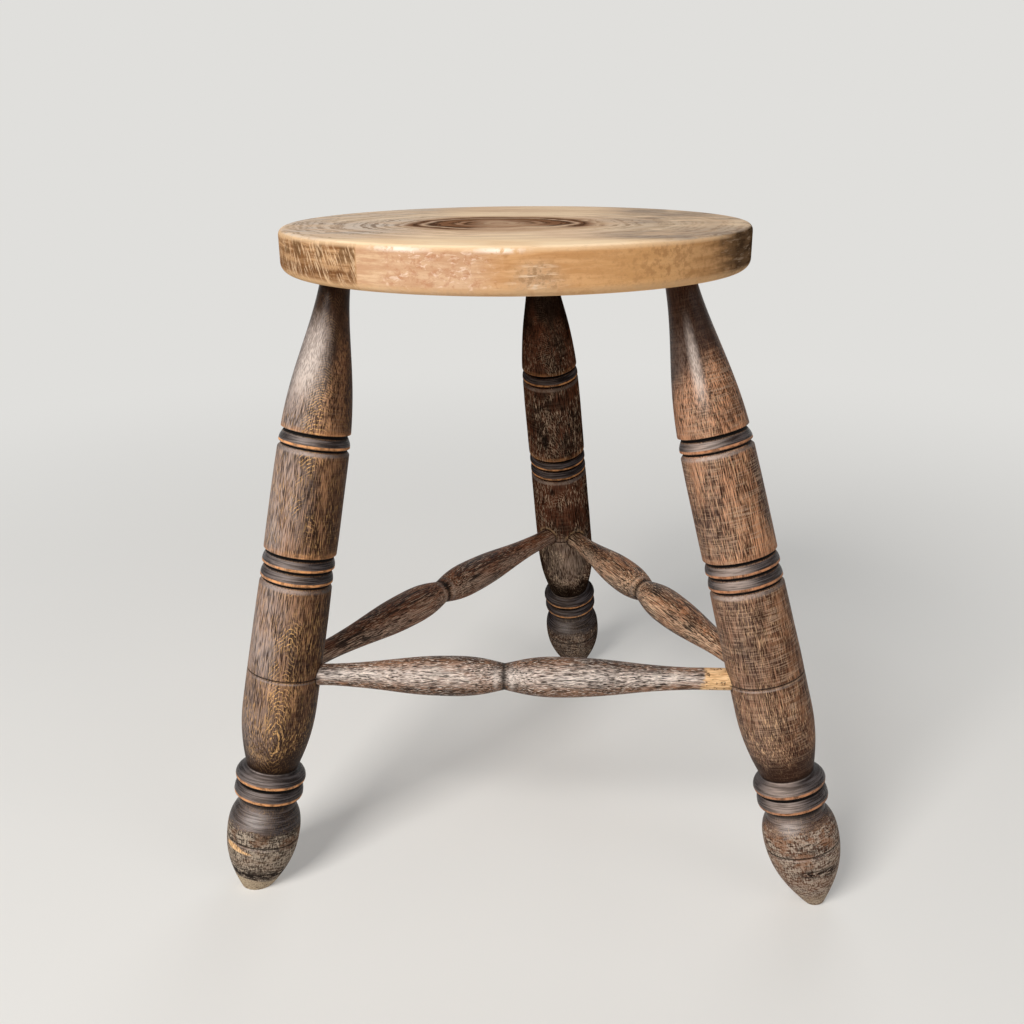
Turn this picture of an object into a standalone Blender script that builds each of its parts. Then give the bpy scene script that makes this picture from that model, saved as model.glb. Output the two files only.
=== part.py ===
"""A three-legged turned stool: plank seat, splayed legs and stretchers, joined by round tenons.

Every piece is its own solid. The legs go into blind sockets in the seat's underside, and the
stretchers into blind bores in the legs. Lengths are in metres and angles in degrees, +Z is up,
the stool stands on z = 0 and the origin is under the middle of its outer box.
"""
import math
from typing import NamedTuple

import bpy
from mathutils import Matrix, Vector

# Fit between pieces that touch
CLEARANCE = 0.0003

# Seat: a turned plank disc, with the legs' axes set in from its rim
SEAT_RADIUS = 0.125
SEAT_THICKNESS = 0.022
SEAT_TOP_ROUND = 0.0035
SEAT_BOTTOM_ROUND = 0.005
LEG_INSET = 0.0256
SOCKET_ROOF = 0.006

# Leg pattern: lengths down the leg's axis from its shoulder mark
NECK_LENGTH = 0.0050
TAPER_LENGTH = 0.0743
GROOVE_EDGE = 0.0022
GROOVE_DEPTH = 0.0017
UPPER_BEAD_WIDTHS = (0.0073,)
UPPER_SHAFT_LENGTH = 0.0539
MIDDLE_BEAD_WIDTHS = (0.0073, 0.0080)
LOWER_SHAFT_LENGTH = 0.0684
STRETCHER_MARK_DROP = 0.0541
LOWER_TAPER_LENGTH = 0.0385
UPPER_COLLAR_RISE = 0.0065
UPPER_COLLAR_FALL = 0.0049
LOWER_COLLAR_RISE = 0.0044
LOWER_COLLAR_FALL = 0.0068
BULB_RISE = 0.0155
FOOT_TAPER_LENGTH = 0.0412
FOOT_ROUND_LENGTH = 0.0012
FOOT_TRIM = 0.0012

# Leg pattern: radii
TENON_RADIUS = 0.0080
TENON_CHAMFER = 0.0010
TAPER_END_RADIUS = 0.0185
UPPER_SHAFT_RADIUS = 0.0190
MIDDLE_BAND_RADIUS = 0.0196
LOWER_SHAFT_RADIUS = 0.0196
LOWER_TAPER_RADIUS = 0.0203
ANKLE_RADIUS = 0.0141
UPPER_COLLAR_RADIUS = 0.0195
COLLAR_GROOVE_RADIUS = 0.0176
LOWER_COLLAR_RADIUS = 0.0192
BULB_NECK_RADIUS = 0.0161
BULB_RADIUS = 0.0204
FOOT_ROUND_RADIUS = 0.0052
FOOT_END_RADIUS = 0.0030

# Stretcher pattern: the waist, the swell on each side of it and the plain ends
WAIST_RADIUS = 0.0071
SWELL_DISTANCE = 0.0280
SWELL_RADIUS = 0.0109
STRETCHER_TENON_RADIUS = 0.0059
STRETCHER_TENON_CHAMFER = 0.0015
WOOD_BETWEEN_BORES = 0.0005

# Curves: how far each end's handle reaches, as a share of the curve's length and of its change in radius
NECK_PULL, TAPER_PULL = (0.335, 0.17), (0.42, 0.18)
SHAFT_PULL, ANKLE_PULL = (0.40, 0.0), (0.33, 0.64)
BULB_NECK_PULL, BULB_PULL = (0.25, 0.65), (0.50, 0.0)
FOOT_TAPER_PULL, FOOT_PULL = (0.375, 0.0), (0.375, 0.68)
WAIST_PULL, SWELL_PULL = (0.25, 0.40), (0.50, 0.0)
STRETCHER_TAPER_PULL, STRETCHER_END_PULL = (0.40, 0.0), (0.44, 0.18)

# Facets round each turned piece, and points along each curve
SEAT_STEPS = 72
LEG_STEPS = 24
STRETCHER_STEPS = 18
CURVE_POINTS = 5
ROUND_POINTS = 3
BEAD_POINTS = 4

# Finishes: colour, roughness
SEAT_FINISH = ((0.56, 0.38, 0.22), 0.60)
LEG_FINISH = ((0.16, 0.085, 0.05), 0.45)
STRETCHER_FINISH = ((0.20, 0.12, 0.08), 0.55)


class LegSetting(NamedTuple):
    """How one leg was set: bearing round the seat, slopes outwards and sideways, gap over its mark."""
    bearing: float
    splay: float
    lean: float
    stand_off: float


class StretcherSetting(NamedTuple):
    """The legs a stretcher joins, its rise over their marks and the plain length beside each leg."""
    first_leg: str
    last_leg: str
    first_rise: float
    last_rise: float
    waist_shift: float
    first_plain: float
    last_plain: float


LEGS = {
    "leg_left": LegSetting(bearing=210.0, splay=12.4, lean=3.1, stand_off=0.0),
    "leg_right": LegSetting(bearing=330.4, splay=15.8, lean=1.8, stand_off=-0.0018),
    "leg_back": LegSetting(bearing=87.9, splay=15.0, lean=-3.1, stand_off=0.0036),
}

STRETCHERS = {
    "stretcher_front": StretcherSetting("leg_left", "leg_right", 0.0014, 0.0013, -0.0090, 0.006, 0.020),
    "stretcher_left": StretcherSetting("leg_left", "leg_back", 0.0021, 0.0025, -0.0042, 0.012, 0.014),
    "stretcher_right": StretcherSetting("leg_right", "leg_back", 0.0007, 0.0, 0.0040, 0.012, 0.010),
}

# Stations down the leg pattern, worked out from its lengths
UPPER_BAND = NECK_LENGTH + TAPER_LENGTH
UPPER_SHAFT = UPPER_BAND + 2 * GROOVE_EDGE + sum(UPPER_BEAD_WIDTHS)
MIDDLE_BAND = UPPER_SHAFT + UPPER_SHAFT_LENGTH
LOWER_SHAFT = MIDDLE_BAND + 2 * GROOVE_EDGE + sum(MIDDLE_BEAD_WIDTHS)
STRETCHER_MARK = LOWER_SHAFT + STRETCHER_MARK_DROP
LOWER_TAPER = LOWER_SHAFT + LOWER_SHAFT_LENGTH
ANKLE = LOWER_TAPER + LOWER_TAPER_LENGTH
UPPER_COLLAR = ANKLE + UPPER_COLLAR_RISE
COLLAR_GROOVE = UPPER_COLLAR + UPPER_COLLAR_FALL
LOWER_COLLAR = COLLAR_GROOVE + LOWER_COLLAR_RISE
BULB_NECK = LOWER_COLLAR + LOWER_COLLAR_FALL
BULB = BULB_NECK + BULB_RISE
FOOT_ROUND = BULB + FOOT_TAPER_LENGTH
FOOT_END = FOOT_ROUND + FOOT_ROUND_LENGTH


def clear_scene():
    """Start from an empty scene."""
    for thing in list(bpy.data.objects):
        bpy.data.objects.remove(thing, do_unlink=True)


def new_collection(name):
    """A collection linked to the scene."""
    collection = bpy.data.collections.new(name)
    bpy.context.scene.collection.children.link(collection)
    return collection


def wood(name, finish):
    """A plain wood finish."""
    colour, roughness = finish
    material = bpy.data.materials.new(name)
    material.use_nodes = True
    shader = material.node_tree.nodes["Principled BSDF"]
    shader.inputs["Base Color"].default_value = (*colour, 1.0)
    shader.inputs["Roughness"].default_value = roughness
    shader.inputs["Metallic"].default_value = 0.0
    return material


def curve(start, end, start_pull, end_pull):
    """Points of a cubic curve after its start, with handles given as shares of its run and rise."""
    run, rise = end[0] - start[0], end[1] - start[1]
    start_handle = (start[0] + start_pull[0] * run, start[1] + start_pull[1] * rise)
    end_handle = (end[0] - end_pull[0] * run, end[1] - end_pull[1] * rise)
    corners = (start, start_handle, end_handle, end)
    points = []
    for index in range(1, CURVE_POINTS + 1):
        t = index / CURVE_POINTS
        weights = ((1 - t) ** 3, 3 * t * (1 - t) ** 2, 3 * t * t * (1 - t), t ** 3)
        along = sum(weight * corner[0] for weight, corner in zip(weights, corners))
        radius = sum(weight * corner[1] for weight, corner in zip(weights, corners))
        points.append((along, radius))
    return points


def quarter(start, end, steep_start):
    """Points of a quarter ellipse after its start, square to the axis at its start or at its end."""
    points = []
    for index in range(1, ROUND_POINTS + 1):
        angle = 0.5 * math.pi * index / ROUND_POINTS
        run, rise = 1 - math.cos(angle), math.sin(angle)
        if not steep_start:
            run, rise = rise, run
        points.append((start[0] + run * (end[0] - start[0]), start[1] + rise * (end[1] - start[1])))
    return points


def band(start, bead_widths, radius_above, radius_below):
    """A band of half-round beads between grooves, from the edge above it to the edge below it."""
    first_groove = start + GROOVE_EDGE
    run = sum(bead_widths)
    points = [(start, radius_above), (first_groove, radius_above - GROOVE_DEPTH)]
    done = 0.0
    for width in bead_widths:
        for index in range(1, BEAD_POINTS + 1):
            along = done + width * index / BEAD_POINTS
            crown = radius_above + (radius_below - radius_above) * along / run
            height = math.sin(math.pi * index / BEAD_POINTS)
            points.append((first_groove + along, crown - GROOVE_DEPTH * (1 - height)))
        done += width
    points.append((first_groove + run + GROOVE_EDGE, radius_below))
    return points


def leg_outline(setting):
    """A leg's radius from the top of its tenon to the tip of its foot."""
    top = CLEARANCE - socket_depth(setting) - setting.stand_off
    neck = (NECK_LENGTH, TENON_RADIUS)
    outline = [(top, 0.0), (top, TENON_RADIUS - TENON_CHAMFER), (top + TENON_CHAMFER, TENON_RADIUS), neck]
    outline += curve(neck, (UPPER_BAND, TAPER_END_RADIUS), NECK_PULL, TAPER_PULL)[:-1]
    outline += band(UPPER_BAND, UPPER_BEAD_WIDTHS, TAPER_END_RADIUS, UPPER_SHAFT_RADIUS)
    outline += band(MIDDLE_BAND, MIDDLE_BEAD_WIDTHS, MIDDLE_BAND_RADIUS, LOWER_SHAFT_RADIUS)
    shaft_end = (LOWER_TAPER, LOWER_TAPER_RADIUS)
    ankle = (ANKLE, ANKLE_RADIUS)
    outline += [shaft_end] + curve(shaft_end, ankle, SHAFT_PULL, ANKLE_PULL)
    upper_collar = (UPPER_COLLAR, UPPER_COLLAR_RADIUS)
    groove = (COLLAR_GROOVE, COLLAR_GROOVE_RADIUS)
    lower_collar = (LOWER_COLLAR, LOWER_COLLAR_RADIUS)
    bulb_neck = (BULB_NECK, BULB_NECK_RADIUS)
    outline += quarter(ankle, upper_collar, True) + quarter(upper_collar, groove, False)
    outline += quarter(groove, lower_collar, True) + quarter(lower_collar, bulb_neck, False)
    bulb = (BULB, BULB_RADIUS)
    outline += curve(bulb_neck, bulb, BULB_NECK_PULL, BULB_PULL)
    outline += curve(bulb, (FOOT_ROUND, FOOT_ROUND_RADIUS), FOOT_TAPER_PULL, FOOT_PULL)
    return outline + [(FOOT_END, FOOT_END_RADIUS), (FOOT_END, 0.0)]


def stretcher_half(length, plain):
    """Radius of one half of a stretcher, from its waist to the end of its tenon."""
    waist = (0.0, WAIST_RADIUS)
    swell = (SWELL_DISTANCE, SWELL_RADIUS)
    taper_end = (length - plain, STRETCHER_TENON_RADIUS)
    outline = [waist] + curve(waist, swell, WAIST_PULL, SWELL_PULL)
    outline += curve(swell, taper_end, STRETCHER_TAPER_PULL, STRETCHER_END_PULL)
    outline.append((length - STRETCHER_TENON_CHAMFER, STRETCHER_TENON_RADIUS))
    outline.append((length, STRETCHER_TENON_RADIUS - STRETCHER_TENON_CHAMFER))
    return outline + [(length, 0.0)]


def turned(name, outline, steps, collection):
    """A solid of revolution about Z from an outline of (distance down from the origin, radius)."""
    mesh = bpy.data.meshes.new(name)
    corners = [(radius, 0.0, -along) for along, radius in outline]
    edges = [(i, i + 1) for i in range(len(corners) - 1)]
    mesh.from_pydata(corners, edges, [])
    piece = bpy.data.objects.new(name, mesh)
    collection.objects.link(piece)
    turn = piece.modifiers.new("turn", "SCREW")
    turn.axis = "Z"
    turn.angle = 2 * math.pi
    turn.steps = steps
    turn.render_steps = steps
    turn.use_merge_vertices = True
    turn.merge_threshold = 0.00001
    turn.use_smooth_shade = True
    return piece


def cut(piece, cutter):
    """Take the cutter's shape out of a piece."""
    boolean = piece.modifiers.new("cut_" + cutter.name, "BOOLEAN")
    boolean.operation = "DIFFERENCE"
    boolean.solver = "EXACT"
    boolean.object = cutter


def as_cutter(piece):
    """Show a cutting shape as wire only."""
    piece.display_type = "WIRE"
    piece.hide_render = True


def place(piece, point, down):
    """Put a piece's origin at a point with its length running along a direction."""
    turn = Vector((0, 0, -1)).rotation_difference(down)
    piece.matrix_world = Matrix.LocRotScale(point, turn, None)


def leg_axis(setting):
    """The unit direction down a leg, from its slopes outwards and sideways."""
    bearing = math.radians(setting.bearing)
    outwards = Vector((math.cos(bearing), math.sin(bearing), 0)) * math.tan(math.radians(setting.splay))
    sideways = Vector((-math.sin(bearing), math.cos(bearing), 0)) * math.tan(math.radians(setting.lean))
    return (outwards + sideways - Vector((0, 0, 1))).normalized()


def leg_entry(setting, underside):
    """Where a leg's axis meets the seat's underside."""
    circle = SEAT_RADIUS - LEG_INSET
    bearing = math.radians(setting.bearing)
    return Vector((circle * math.cos(bearing), circle * math.sin(bearing), underside))


def socket_depth(setting):
    """Depth of a slanted socket along its axis, with the seat's wood left whole over its highest edge."""
    level = -leg_axis(setting).z
    slant = math.sqrt(1 - level * level)
    return (SEAT_THICKNESS - SOCKET_ROOF - (TENON_RADIUS + CLEARANCE) * slant) / level


def underside_height():
    """Height of the seat's underside once all feet are trimmed level with the shortest leg."""
    drops = [-leg_axis(setting).z * (FOOT_END + setting.stand_off) for setting in LEGS.values()]
    return min(drops) - FOOT_TRIM


def point_on_leg(name, along, underside):
    """A point on a leg's axis, at a distance below the leg's shoulder mark."""
    setting = LEGS[name]
    return leg_entry(setting, underside) + leg_axis(setting) * (setting.stand_off + along)


def stretcher_ends(name, underside):
    """Where a stretcher's axis meets the axes of its two legs."""
    setting = STRETCHERS[name]
    start = point_on_leg(setting.first_leg, STRETCHER_MARK - setting.first_rise, underside)
    end = point_on_leg(setting.last_leg, STRETCHER_MARK - setting.last_rise, underside)
    return start, end


def bore_stop(leg_name, underside):
    """How far from a leg's axis its two bores stop, so that they leave wood between their ends."""
    runs = []
    for name, setting in STRETCHERS.items():
        start, end = stretcher_ends(name, underside)
        if setting.first_leg == leg_name:
            runs.append(end - start)
        elif setting.last_leg == leg_name:
            runs.append(start - end)
    half_angle = runs[0].angle(runs[1]) / 2
    bore = STRETCHER_TENON_RADIUS + CLEARANCE
    corner = (bore * math.cos(half_angle) + WOOD_BETWEEN_BORES / 2) / math.sin(half_angle)
    return corner - STRETCHER_TENON_CHAMFER


def make_seat(underside, parts, cutters):
    """The plank disc, rounded at both edges, with a slanted blind socket for each leg."""
    top = (-SEAT_THICKNESS, SEAT_RADIUS - SEAT_TOP_ROUND)
    outline = [(-SEAT_THICKNESS, 0.0), top]
    outline += quarter(top, (SEAT_TOP_ROUND - SEAT_THICKNESS, SEAT_RADIUS), True)
    lower = (-SEAT_BOTTOM_ROUND, SEAT_RADIUS)
    outline += [lower] + quarter(lower, (0.0, SEAT_RADIUS - SEAT_BOTTOM_ROUND), False)
    outline.append((0.0, 0.0))
    seat = turned("seat", outline, SEAT_STEPS, parts)
    seat.location = (0, 0, underside)
    bore = TENON_RADIUS + CLEARANCE
    for name, setting in LEGS.items():
        depth = socket_depth(setting)
        socket = [(-depth, 0.0), (-depth, bore), (depth, bore), (depth, 0.0)]
        cutter = turned("socket_" + name, socket, LEG_STEPS, cutters)
        as_cutter(cutter)
        place(cutter, leg_entry(setting, underside), leg_axis(setting))
        cut(seat, cutter)
    return seat


def make_leg(name, underside, floor_cutter, parts):
    """One leg of the shared pattern, trimmed flat on the floor."""
    setting = LEGS[name]
    leg = turned(name, leg_outline(setting), LEG_STEPS, parts)
    place(leg, point_on_leg(name, 0.0, underside), leg_axis(setting))
    cut(leg, floor_cutter)
    return leg


def make_stretcher(name, underside, legs, parts, cutters):
    """One stretcher between two legs, with a blind bore cut for it in each."""
    setting = STRETCHERS[name]
    start, end = stretcher_ends(name, underside)
    run = (end - start).normalized()
    waist = (start + end) / 2 + run * setting.waist_shift
    halves = []
    ends = (
        (setting.first_leg, start, run, setting.first_plain),
        (setting.last_leg, end, -run, setting.last_plain),
    )
    for leg_name, point, inwards, plain in ends:
        stop = bore_stop(leg_name, underside)
        tenon_end = stop + CLEARANCE
        length = (waist - point).length - tenon_end
        halves.append(stretcher_half(length, plain + LOWER_SHAFT_RADIUS - tenon_end))
        bore = STRETCHER_TENON_RADIUS + CLEARANCE
        mouth = 2 * LOWER_SHAFT_RADIUS
        hole = [(stop, 0.0), (stop, bore - STRETCHER_TENON_CHAMFER), (stop + STRETCHER_TENON_CHAMFER, bore)]
        hole += [(mouth, bore), (mouth, 0.0)]
        cutter = turned("bore_" + name + "_" + leg_name, hole, STRETCHER_STEPS, cutters)
        as_cutter(cutter)
        place(cutter, point, inwards)
        cut(legs[leg_name], cutter)
    outline = [(-along, radius) for along, radius in reversed(halves[0])] + halves[1][1:]
    stretcher = turned(name, outline, STRETCHER_STEPS, parts)
    place(stretcher, waist, run)
    return stretcher


def make_floor_cutter(cutters):
    """A block under the floor plane that trims the feet."""
    size = 4 * (SEAT_RADIUS + FOOT_END)
    bpy.ops.mesh.primitive_cube_add(size=size, location=(0, 0, -size / 2))
    block = bpy.context.object
    block.name = "floor_cutter"
    for collection in list(block.users_collection):
        collection.objects.unlink(block)
    cutters.objects.link(block)
    as_cutter(block)
    return block


def box_middle(pieces):
    """The middle, in plan, of the box round all pieces."""
    graph = bpy.context.evaluated_depsgraph_get()
    corners = []
    for piece in pieces:
        evaluated = piece.evaluated_get(graph)
        corners += [evaluated.matrix_world @ vertex.co for vertex in evaluated.to_mesh().vertices]
        evaluated.to_mesh_clear()
    low = [min(corner[i] for corner in corners) for i in range(2)]
    high = [max(corner[i] for corner in corners) for i in range(2)]
    return Vector(((low[0] + high[0]) / 2, (low[1] + high[1]) / 2, 0))


def main():
    """Make the seat, the legs and the stretchers, and centre the stool over the origin."""
    clear_scene()
    parts = new_collection("tripod_stool")
    cutters = new_collection("cutters")
    underside = underside_height()
    floor_cutter = make_floor_cutter(cutters)
    seat = make_seat(underside, parts, cutters)
    seat.data.materials.append(wood("seat_wood", SEAT_FINISH))
    legs = {}
    for name in LEGS:
        legs[name] = make_leg(name, underside, floor_cutter, parts)
        legs[name].data.materials.append(wood(name + "_wood", LEG_FINISH))
    stretchers = []
    for name in STRETCHERS:
        stretcher = make_stretcher(name, underside, legs, parts, cutters)
        stretcher.data.materials.append(wood(name + "_wood", STRETCHER_FINISH))
        stretchers.append(stretcher)
    bpy.context.view_layer.update()
    pieces = [seat, *legs.values(), *stretchers]
    middle = box_middle(pieces)
    stool = bpy.data.objects.new("stool", None)
    parts.objects.link(stool)
    for thing in pieces + list(cutters.objects):
        thing.parent = stool
    stool.location = -middle


main()
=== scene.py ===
"""The look of an old turned tripod stool: a pale sanded plank seat, dark stained legs and stretchers.

Every piece is a turned surface worked out on a grid of rows down its axis and columns round it. Its
finish reads where a point lies in the timber, and how cut, worn, weathered or bare the turning is there.
Shade in the cuts, at the leg tops and ankles, and highlights on the lit sides are painted into the colour.
"""
import math
from typing import NamedTuple

import bpy
import numpy as np
from mathutils import Matrix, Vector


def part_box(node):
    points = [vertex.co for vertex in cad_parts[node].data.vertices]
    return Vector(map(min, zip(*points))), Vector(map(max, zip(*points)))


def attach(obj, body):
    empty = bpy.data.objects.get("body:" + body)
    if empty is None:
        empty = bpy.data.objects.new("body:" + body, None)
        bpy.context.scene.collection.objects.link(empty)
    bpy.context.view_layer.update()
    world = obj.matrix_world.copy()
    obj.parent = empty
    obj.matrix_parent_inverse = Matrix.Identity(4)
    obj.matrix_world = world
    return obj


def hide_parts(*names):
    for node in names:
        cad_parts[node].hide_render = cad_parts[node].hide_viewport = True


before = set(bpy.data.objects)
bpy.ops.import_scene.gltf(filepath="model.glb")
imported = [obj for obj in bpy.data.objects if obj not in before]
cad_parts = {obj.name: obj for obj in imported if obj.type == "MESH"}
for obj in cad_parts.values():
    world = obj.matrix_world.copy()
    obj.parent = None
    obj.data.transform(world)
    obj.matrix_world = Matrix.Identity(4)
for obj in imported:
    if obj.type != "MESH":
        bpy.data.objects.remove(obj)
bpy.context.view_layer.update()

# Seat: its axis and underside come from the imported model
SEAT_LOW, SEAT_HIGH = [np.array(corner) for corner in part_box("seat")]
SEAT_FOOT = np.array([(SEAT_LOW[0] + SEAT_HIGH[0]) / 2, (SEAT_LOW[1] + SEAT_HIGH[1]) / 2, SEAT_LOW[2]])
SEAT_RADIUS = 0.125
SEAT_THICKNESS = 0.022
SEAT_TOP_ROUND = 0.0035
SEAT_BOTTOM_ROUND = 0.005
SEAT_COLUMNS = 480

# Leg joints: circle of the legs round the seat's axis, wood left over a socket, and clearance
LEG_CIRCLE = 0.0994
SOCKET_ROOF = 0.006
CLEARANCE = 0.0003

# Leg pattern: stations down the axis from the shoulder mark
NECK = 0.0050
UPPER_BAND = 0.0793
UPPER_SHAFT = 0.0910
MIDDLE_BAND = 0.1449
LOWER_SHAFT = 0.1646
SCRIBED_MARK = 0.2142
STRETCHER_MARK = 0.2187
LOWER_TAPER = 0.2330
ANKLE = 0.2715
UPPER_CROWN = 0.2768
UPPER_LIP = 0.2781
COLLAR_GROOVE = 0.2808
LOWER_CROWN = 0.2863
LOWER_LIP = 0.2875
COLLAR_END = 0.2895
BULB_NECK = 0.2941
BULB = 0.3096
BULB_MARK = 0.3129
FOOT_ROUND = 0.3508
FOOT_END = 0.3520

# Leg pattern: grooves, widths of beads, scribed lines, lips, and the rows and columns of the mesh
GROOVE_EDGE = 0.0022
GROOVE_DEPTH = 0.0017
UPPER_BEADS = (0.0073,)
MIDDLE_BEADS = (0.0073, 0.0080)
SCRIBE_DEPTH = 0.0005
SCRIBE_HALF_WIDTH = 0.0007
LIP_DROP = 0.0003
WALL_ROWS = 14
BEAD_ROWS = 36
SHAFT_ROWS = 64
COLLAR_ROWS = 20
LEG_COLUMNS = 128

# Leg pattern: radii
TENON_RADIUS = 0.0080
TENON_CHAMFER = 0.0010
TAPER_END_RADIUS = 0.0185
UPPER_SHAFT_RADIUS = 0.0190
SHAFT_RADIUS = 0.0196
LOWER_TAPER_RADIUS = 0.0203
ANKLE_RADIUS = 0.0141
UPPER_COLLAR_RADIUS = 0.0195
COLLAR_GROOVE_RADIUS = 0.0176
LOWER_COLLAR_RADIUS = 0.0192
BULB_NECK_RADIUS = 0.0161
BULB_RADIUS = 0.0204
FOOT_ROUND_RADIUS = 0.0052
FOOT_END_RADIUS = 0.0030

# Stretcher pattern
WAIST_RADIUS = 0.0071
SWELL_DISTANCE = 0.0280
SWELL_RADIUS = 0.0109
STRETCHER_TENON_RADIUS = 0.0059
STRETCHER_CHAMFER = 0.0015
TENON_STOP = 0.0107
STRETCHER_COLUMNS = 96

# Where a leg's finish changes, in stations down its axis: pairs are the two ends of a soft step
PAINTED_SHEEN_EDGE = (0.010, 0.036)
SHADED_TOP_EDGE = (0.036, 0.014)
SLEEK_AND_SHADED_EDGE = (0.060, 0.036)
TAPER_MIDDLE = 0.050
FILM_AND_SHEEN_LOW_EDGE = (0.205, 0.222)
LOW_FLECKS_EDGE = (0.210, 0.235)
DARK_LOW_END = 0.240
DARK_ANKLE = (0.247, 0.263)
RIGHT_WEATHER_EDGE = (0.2950, 0.3045)
BULB_CAP = 0.2985
BULB_WEATHER_EDGE = (0.3010, 0.3080)
BULB_POLISH_EDGE = (0.3020, 0.3085)
LOWER_BULB = 0.325
GREY_END_EDGE = (0.330, 0.336)
BARE_FOOT = 0.3362

# Finish: how far the timber's heart lies behind a piece's axis, depth of the bump, and the darkest stain
HEART_DEPTH = 0.060
RELIEF_DEPTH = 0.0004
BLACK = (24, 15, 11)

# Floor: how far it reaches each way
FLOOR_REACH = 6.0

# Camera: place from the middle of the seat's underside, turn in degrees, frame and lens in millimetres
EYE = SEAT_FOOT + np.array([0.06514, -0.58431, 0.06885])
YAW, PITCH, ROLL = 6.678, 19.839, 0.574
SENSOR_WIDTH = 36.0
LENS = 37.33


class LegSetting(NamedTuple):
    """How a leg stands: bearing round the seat, slope outwards and sideways, gap over its mark, own seed."""
    bearing: float
    splay: float
    lean: float
    stand_off: float
    seed: int


class StretcherSetting(NamedTuple):
    """The legs a stretcher joins, its rise over their marks, the waist's shift and the plain lengths."""
    first_leg: str
    last_leg: str
    first_rise: float
    last_rise: float
    waist_shift: float
    first_plain: float
    last_plain: float
    seed: int


class Grid(NamedTuple):
    """A turned surface's grid: how far along, angle from the viewer's side, points, cuts and wear."""
    along: np.ndarray
    angle: np.ndarray
    points: np.ndarray
    cuts: np.ndarray
    wear: np.ndarray


LEGS = {
    "leg_left": LegSetting(210.0, 12.4, 3.1, 0.0, 3),
    "leg_right": LegSetting(330.4, 15.8, 1.8, -0.0018, 7),
    "leg_back": LegSetting(87.9, 15.0, -3.1, 0.0036, 11),
}
STRETCHERS = {
    "stretcher_front": StretcherSetting("leg_left", "leg_right", 0.0014, 0.0013, -0.0090, 0.006, 0.020, 17),
    "stretcher_left": StretcherSetting("leg_left", "leg_back", 0.0021, 0.0025, -0.0042, 0.012, 0.014, 23),
    "stretcher_right": StretcherSetting("leg_right", "leg_back", 0.0007, 0.0, 0.0040, 0.012, 0.010, 29),
}

# The cuts and the wear that a grid keeps for each point: the cuts' dark share is mostly painted shade
LIP, DARK_AND_SHADE, POLISH, PALE = range(4)
BARE, WEATHER, CHAR, TAN = range(4)


def unit(vector):
    """A vector of length one in the same direction."""
    return vector / np.linalg.norm(vector)


def ease(value, low, high):
    """A soft step from 0 at low to 1 at high: 3t squared minus 2t cubed."""
    t = np.clip((value - low) / (high - low), 0.0, 1.0)
    return t * t * (3 - 2 * t)


def bump(value, middle, width):
    """A soft hump of height 1: e to the minus square of the distance in widths."""
    return np.exp(-((value - middle) / width) ** 2)


def unevenness(along, angle, seed):
    """Hand-turned unevenness from -1 to 1: a sum of slow sine waves down and round the piece."""
    random = np.random.default_rng(seed)
    total = 0.0
    for _ in range(6):
        waves, turns, phase = random.uniform(20, 220), random.integers(0, 5), random.uniform(0, 2 * math.pi)
        total = total + np.sin(waves * along + turns * angle + phase)
    return total / 6


def rows_of(along, radius, lip=0.0, soot=0.0, polish=0.0, pale=0.0):
    """Profile rows: distance along the axis, radius, and how worn, darkened by painted shade, polished or
    pale the cut is.
    """
    return np.column_stack(np.broadcast_arrays(along, radius, lip, soot, polish, pale))


def shares(count):
    """Even shares from 0 up to, but without, 1."""
    return np.linspace(0, 1, count, endpoint=False)


def sweep(start, end, start_pull, end_pull, count):
    """A cubic curve in the profile, its handles set as shares of its run and of its change in radius."""
    t = shares(count)
    run, rise = end[0] - start[0], end[1] - start[1]
    along = (start[0], start[0] + start_pull[0] * run, end[0] - end_pull[0] * run, end[0])
    radius = (start[1], start[1] + start_pull[1] * rise, end[1] - end_pull[1] * rise, end[1])
    weights = ((1 - t) ** 3, 3 * t * (1 - t) ** 2, 3 * t * t * (1 - t), t ** 3)
    return sum(w * a for w, a in zip(weights, along)), sum(w * r for w, r in zip(weights, radius))


def scribed(along, mark):
    """Depth of a line cut with a skew's point: a V half a millimetre deep and over one wide."""
    return SCRIBE_DEPTH * np.clip(1 - np.abs(along - mark) / SCRIBE_HALF_WIDTH, 0, 1)


def band(start, beads, above, below):
    """Rows of a cut band: a wall into the first groove, beads with sharp worn lips, and a pale slope out,
    with painted shade in the grooves.

    A bead's radius climbs out of its groove as a quarter of a sine over the first two thirds of its width,
    stays on its lip, and drops steeply into the next groove.
    """
    t = shares(WALL_ROWS)
    wall = above - GROOVE_DEPTH * ease(t, 0.3, 0.7)
    # Painted shade down the wall into the first groove
    parts = [rows_of(start + GROOVE_EDGE * t, wall, 0.5 * bump(t, 0.15, 0.2), ease(t, 0.38, 0.52))]
    done, run = start + GROOVE_EDGE, sum(beads)
    for width in beads:
        t = shares(BEAD_ROWS)
        along = done + width * t
        crown = above + (below - above) * (along - start - GROOVE_EDGE) / run
        climb = np.sin(0.5 * math.pi * np.clip(t / 0.68, 0, 1))
        radius = crown - GROOVE_DEPTH * np.maximum(1 - climb, ease(t, 0.80, 0.97))
        lip = ease(t, 0.63, 0.68) * (1 - ease(t, 0.79, 0.85))
        # Painted shade in the grooves on both sides of the bead
        soot = 1 - ease(t, 0.05, 0.17) + ease(t, 0.84, 0.92)
        polish = ease(t, 0.08, 0.18) * (1 - ease(t, 0.63, 0.68))
        parts.append(rows_of(along, radius, lip, soot, polish))
        done += width
    t = shares(WALL_ROWS)
    slope = below - GROOVE_DEPTH * (1 - ease(t, -0.15, 1.1))
    pale = ease(t, 0.25, 0.5)
    # Painted shade in the last groove, at the foot of the pale slope
    parts.append(rows_of(done + GROOVE_EDGE * t, slope, 0.0, 1 - ease(t, 0.08, 0.3), 0.0, pale))
    return np.vstack(parts)


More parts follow.
